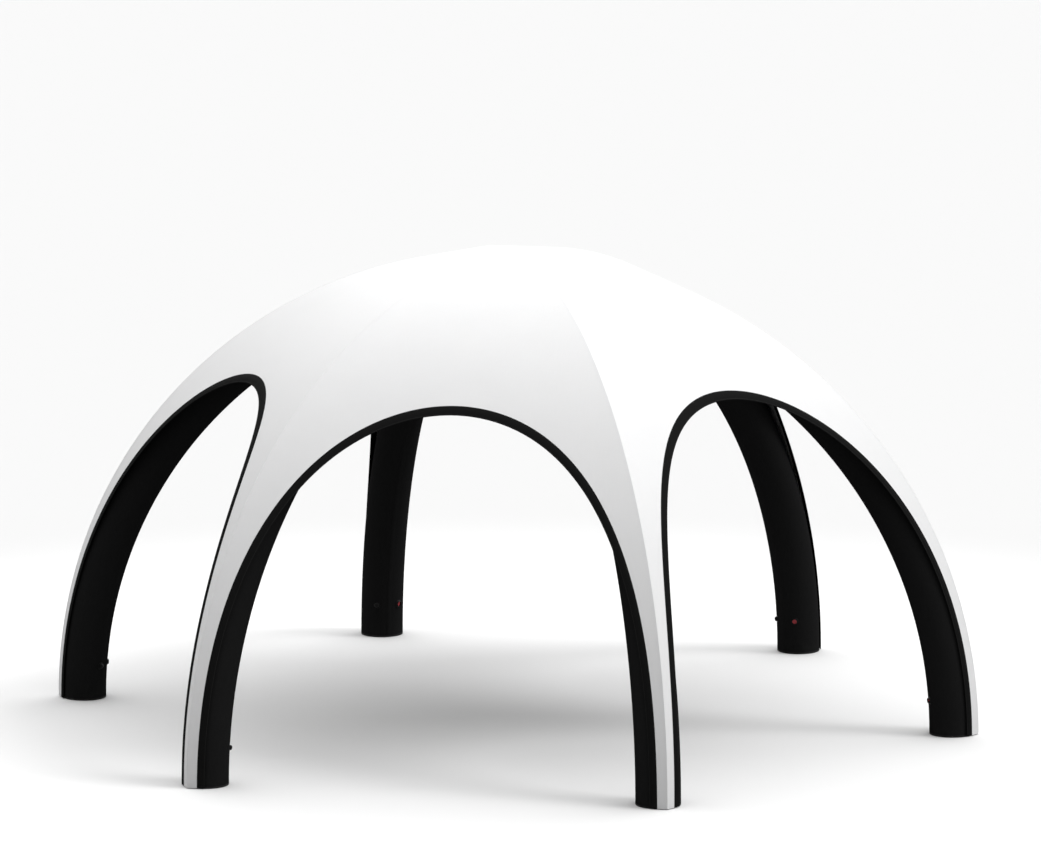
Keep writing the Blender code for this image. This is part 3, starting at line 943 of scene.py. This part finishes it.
def ridge_tape_mesh():
    """Six thin tapes from the hems of the strips to under the patch, each creased along its ridge."""
    bm = bmesh.new()
    hem_turn = math.asin(HEM_HEIGHT / CANOPY_ARC_RADIUS)
    last_turn = math.acos(PATCH_RADIUS * TAPE_END_SHARE / CANOPY_ARC_RADIUS)
    near = Matrix.Rotation(-HALF_SIXTH, 3, "Z")
    far = Matrix.Rotation(HALF_SIXTH, 3, "Z")
    ridge_height = CANOPY_ARC_RADIUS + TAPE_LIFT / math.cos(HALF_SIXTH)
    places = (-1.0 - TAPE_TUCK_SHARE, -1.0, 0.0, 1.0, 1.0 + TAPE_TUCK_SHARE)
    for index in range(SIDES):
        rows, cloth_rows = [], []
        for step in range(TAPE_ROWS + 1):
            turn = hem_turn + (last_turn - hem_turn) * step / TAPE_ROWS
            edge = ridge_across(turn) - TAPE_HALF_WIDTH
            rows.append([
                near @ on_panel(edge, turn, -TAPE_LIFT), near @ on_panel(edge, turn, TAPE_LIFT),
                Vector((math.cos(turn), 0.0, math.sin(turn))) * ridge_height,
                far @ on_panel(-edge, turn, TAPE_LIFT), far @ on_panel(-edge, turn, -TAPE_LIFT),
            ])
            run = turn * CANOPY_ARC_RADIUS
            cloth_rows.append([(place * TAPE_HALF_WIDTH, run) for place in places])
        tape = sheet_of("tape", rows, cloth_rows)
        tape.transform(Matrix.Rotation(index * 2 * HALF_SIXTH, 4, "Z"))
        bm.from_mesh(tape)
        bpy.data.meshes.remove(tape)
    mesh = bpy.data.meshes.new("ridge_tapes")
    bm.to_mesh(mesh)
    bm.free()
    mesh.shade_smooth()
    mesh.set_sharp_from_angle(angle=RIDGE_CREASE)
    return mesh


def on_crown(reach, turn, lift):
    """A point on the skin near its top, by its distance and direction from the middle."""
    sixth = 2 * HALF_SIXTH
    nearest = (math.floor(turn / sixth) + 0.5) * sixth
    forward = reach * math.cos(turn - nearest)
    rise = math.acos(forward / (CANOPY_ARC_RADIUS * math.cos(HALF_SIXTH)))
    height = CANOPY_ARC_RADIUS * math.sin(rise) + lift
    return Vector((reach * math.cos(turn), reach * math.sin(turn), height))


def crown_patch_mesh():
    """The round patch, with its edge tucked down onto the skin."""
    rows, cloth_rows = [], []
    turns = [2 * math.pi * step / PATCH_STEPS for step in range(PATCH_STEPS + 1)]
    reaches = [(PATCH_RADIUS * ring / PATCH_RINGS, PATCH_LIFT) for ring in range(PATCH_RINGS + 1)]
    reaches.append((PATCH_RADIUS + PATCH_TUCK, -TAPE_LIFT))
    for reach, lift in reaches:
        rows.append([on_crown(reach, turn, lift) for turn in turns])
        cloth_rows.append([(reach * math.cos(turn), reach * math.sin(turn)) for turn in turns])
    mesh = sheet_of("crown_patch", rows, cloth_rows)
    bm = bmesh.new()
    bm.from_mesh(mesh)
    bmesh.ops.remove_doubles(bm, verts=bm.verts, dist=SAME_POINT)
    for face in bm.faces:
        if face.normal.z < 0.0:
            face.normal_flip()
    bm.to_mesh(mesh)
    bm.free()
    mesh.shade_smooth()
    mesh.set_sharp_from_angle(angle=RIDGE_CREASE)
    return mesh


def patch_rows(tree, across, along):
    """One row of stitches round the patch, just inside its edge."""
    place = node(tree, "ShaderNodeCombineXYZ", {"X": across, "Y": along}).outputs[0]
    reach = node(tree, "ShaderNodeVectorMath", {0: place}, operation="LENGTH").outputs["Value"]
    turn = work_out(tree, "ARCTAN2", along, across)
    return [(reach, work_out(tree, "MULTIPLY", turn, PATCH_RADIUS), PATCH_RADIUS - TAPE_STITCH_INSET)]


ridge_tapes = new_object("ridge_tapes", ridge_tape_mesh(), canopy_white("tape_white", tape_rows))
crown_patch = new_object("crown_patch", crown_patch_mesh(), canopy_white("patch_white", patch_rows))
for piece in (ridge_tapes, crown_patch):
    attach(piece, "canopy")

# The door trims
# A black band is folded round the whole edge of each door arch, from one foot up and over to the other,
# and sewn through the skin and lining with a row of stitches along each edge.
TRIM_PROUD = 0.0009
TRIM_NOSE = 0.0016
TRIM_LIP_SHARE = 0.02
TRIM_BACK = SKIN_THICKNESS + TRIM_PROUD
TRIM_OUTER_FACES = 6
TRIM_EDGE = math.radians(50.0)
TRIM_STITCH_INSET = 0.004
TRIM_GLOSS = 0.01
TRIM_ROUGHNESS = (0.6, 0.75)
TRIM_THREADS = 700.0
TRIM_DEPTH = 0.00018
TRIM_THREAD_BRIGHTER = 3.0
TRIM_DUST = (0.14, 0.135, 0.125)
OUTER_DARK = (0.0060, 0.0060, 0.0060)
OUTER_PALE = (0.0100, 0.0100, 0.0100)
# The band's inner face is given a far darker black than its outer face: painted shade, for the same tape
# where it turns in under the door.
SHADED_INNER_DARK = (0.0015, 0.0015, 0.0015)
SHADED_INNER_PALE = (0.0028, 0.0028, 0.0028)


def trim_black(name, dark, pale):
    """Black woven tape with fine threads and a row of stitches along each edge."""
    material, tree, shader = finish_of(name, Specular_IOR_Level=TRIM_GLOSS)
    cloth, across, along = cloth_map(tree)
    weave = place_group(tree, WEAVE, Cloth=cloth, Threads_per_Metre=TRIM_THREADS)
    dust = place_group(tree, DUST, Place=object_place(tree), Reach=DUST_REACH, Amount=DUST_AMOUNT)["Dust"]
    thread = [TRIM_THREAD_BRIGHTER * part for part in pale]
    colour = blend_colours(tree, weave["Tone"], dark, pale)
    normal = bump(tree, weave["Height"], TRIM_DEPTH)
    for row in (TRIM_STITCH_INSET, TRIM_WIDTH - TRIM_STITCH_INSET):
        stitches = place_group(
            tree, LOCKSTITCH, Across=across, Along=along, Row=row,
            Stitch_Length=STITCH_LENGTH, Thread_Width=CANOPY_STITCH_WIDTH,
        )["Stitch"]
        colour = blend_colours(tree, stitches, colour, thread)
        normal = bump(tree, stitches, STITCH_DEPTH, normal)
    rough = ramp(tree, weave["Tone"], *NOISE_MIDDLE, *TRIM_ROUGHNESS)
    tree.links.new(blend_colours(tree, dust, colour, TRIM_DUST), shader.inputs["Base Color"])
    tree.links.new(rough, shader.inputs["Roughness"])
    tree.links.new(normal, shader.inputs["Normal"])
    return material


def trim_section():
    """The band's section as (share of the way from the seam to the door's edge, lift), once round."""
    nose = 1.0 + TRIM_NOSE / TRIM_WIDTH
    shoulder = (1.0 + nose) / 2
    return (
        (0.0, -TRIM_PROUD), (TRIM_LIP_SHARE / 2, TRIM_PROUD / 2), (TRIM_LIP_SHARE, TRIM_PROUD),
        (0.5, TRIM_PROUD), (1.0, TRIM_PROUD), (shoulder, TRIM_PROUD / 2), (nose, -SKIN_THICKNESS / 2),
        (shoulder, -TRIM_BACK + TRIM_PROUD / 2), (1.0, -TRIM_BACK), (0.5, -TRIM_BACK),
        (TRIM_LIP_SHARE, -TRIM_BACK), (0.0, -TRIM_BACK + TRIM_PROUD),
    )


def trim_mesh():
    """The band round the door that faces +X, closed at both feet."""
    up = list(zip(door_edge(0.0), door_edge(TRIM_WIDTH)))
    places = [(seam, opening, 1.0) for seam, opening in up]
    places += [(seam, opening, -1.0) for seam, opening in up[-2::-1]]
    section = trim_section()
    rows, cloth_rows = [], []
    run, before = 0.0, None
    for (seam_across, seam_turn), (open_across, open_turn), side in places:
        row = []
        for share, lift in section:
            across = seam_across + (open_across - seam_across) * share
            turn = seam_turn + (open_turn - seam_turn) * share
            row.append(on_panel(side * across, turn, lift))
        if before is not None:
            run += (row[0] - before).length
        before = row[0].copy()
        rows.append(row + row[:1])
        cloth_rows.append([(share * TRIM_WIDTH, run) for share, lift in section + section[:1]])
    mesh = sheet_of("door_trim", rows, cloth_rows)
    for number, polygon in enumerate(mesh.polygons):
        polygon.material_index = 0 if number % len(section) < TRIM_OUTER_FACES else 1
    bm = bmesh.new()
    bm.from_mesh(mesh)
    bmesh.ops.remove_doubles(bm, verts=bm.verts, dist=SAME_POINT)
    bmesh.ops.holes_fill(bm, edges=[edge for edge in bm.edges if edge.is_boundary], sides=0)
    bmesh.ops.recalc_face_normals(bm, faces=bm.faces)
    bm.to_mesh(mesh)
    bm.free()
    mesh.shade_smooth()
    mesh.set_sharp_from_angle(angle=TRIM_EDGE)
    return mesh


trim = trim_mesh()
trim.materials.append(trim_black("trim_outer", OUTER_DARK, OUTER_PALE))
# The inner face's darker black is painted shade.
trim.materials.append(trim_black("trim_inner_painted_shade", SHADED_INNER_DARK, SHADED_INNER_PALE))
trims = ring_of_six("door_band", PANEL_PLACES, trim, HALF_SIXTH, "canopy", "door_trim")

skin_bm = bmesh.new()
skin_bm.from_mesh(skin.data)
shown_area = sum(face.calc_area() for face in skin_bm.faces)
skin_bm.free()
